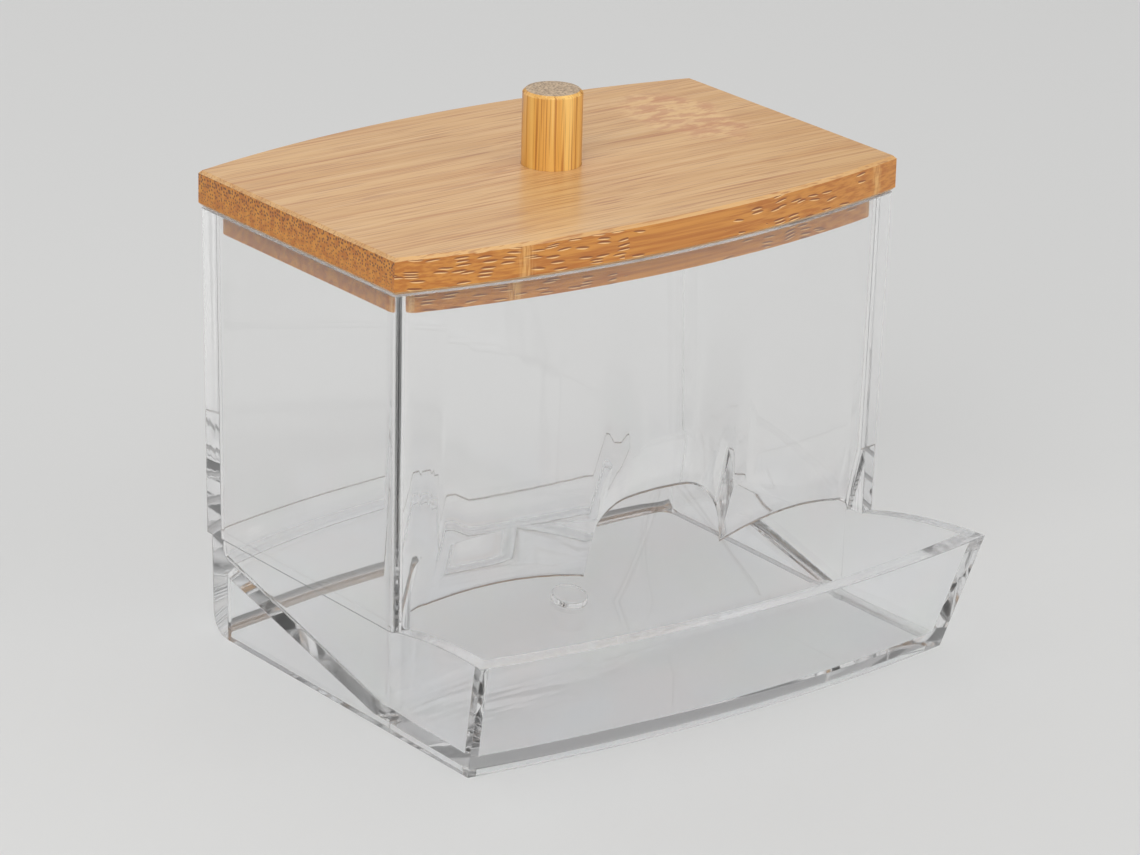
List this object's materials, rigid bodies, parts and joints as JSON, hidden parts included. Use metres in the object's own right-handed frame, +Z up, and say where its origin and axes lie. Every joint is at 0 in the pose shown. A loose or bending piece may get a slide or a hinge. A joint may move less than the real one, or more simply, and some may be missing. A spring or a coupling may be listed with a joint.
{
  "type": "cotton swab holder",
  "caption": "Clear moulded box with a sloped floor, arched dispensing slot and front tray, closed by a bowed bamboo lid with a dowel knob.",
  "frame": {"origin": "on the resting plane, under the middle of the whole outline", "axes": "+X along the lid's long edge, +Z up, the tray on the -Y side"},
  "size_m": [0.1018, 0.091, 0.0918],
  "materials": {
    "clear_plastic": "clear, polished moulding",
    "bamboo": "clear lacquer, semi-gloss",
    "bamboo_dowel": "clear lacquer, semi-gloss"
  },
  "bodies": {
    "holder": {"holder_body": "clear_plastic"},
    "lid": {"lid_board": "bamboo", "lid_knob": "bamboo_dowel"}
  },
  "joints": [
    {"name": "lid_lift", "type": "slide", "parent": "holder", "child": "lid", "axis": [0, 0, 1], "range_m": [0, 0.06]}
  ]
}
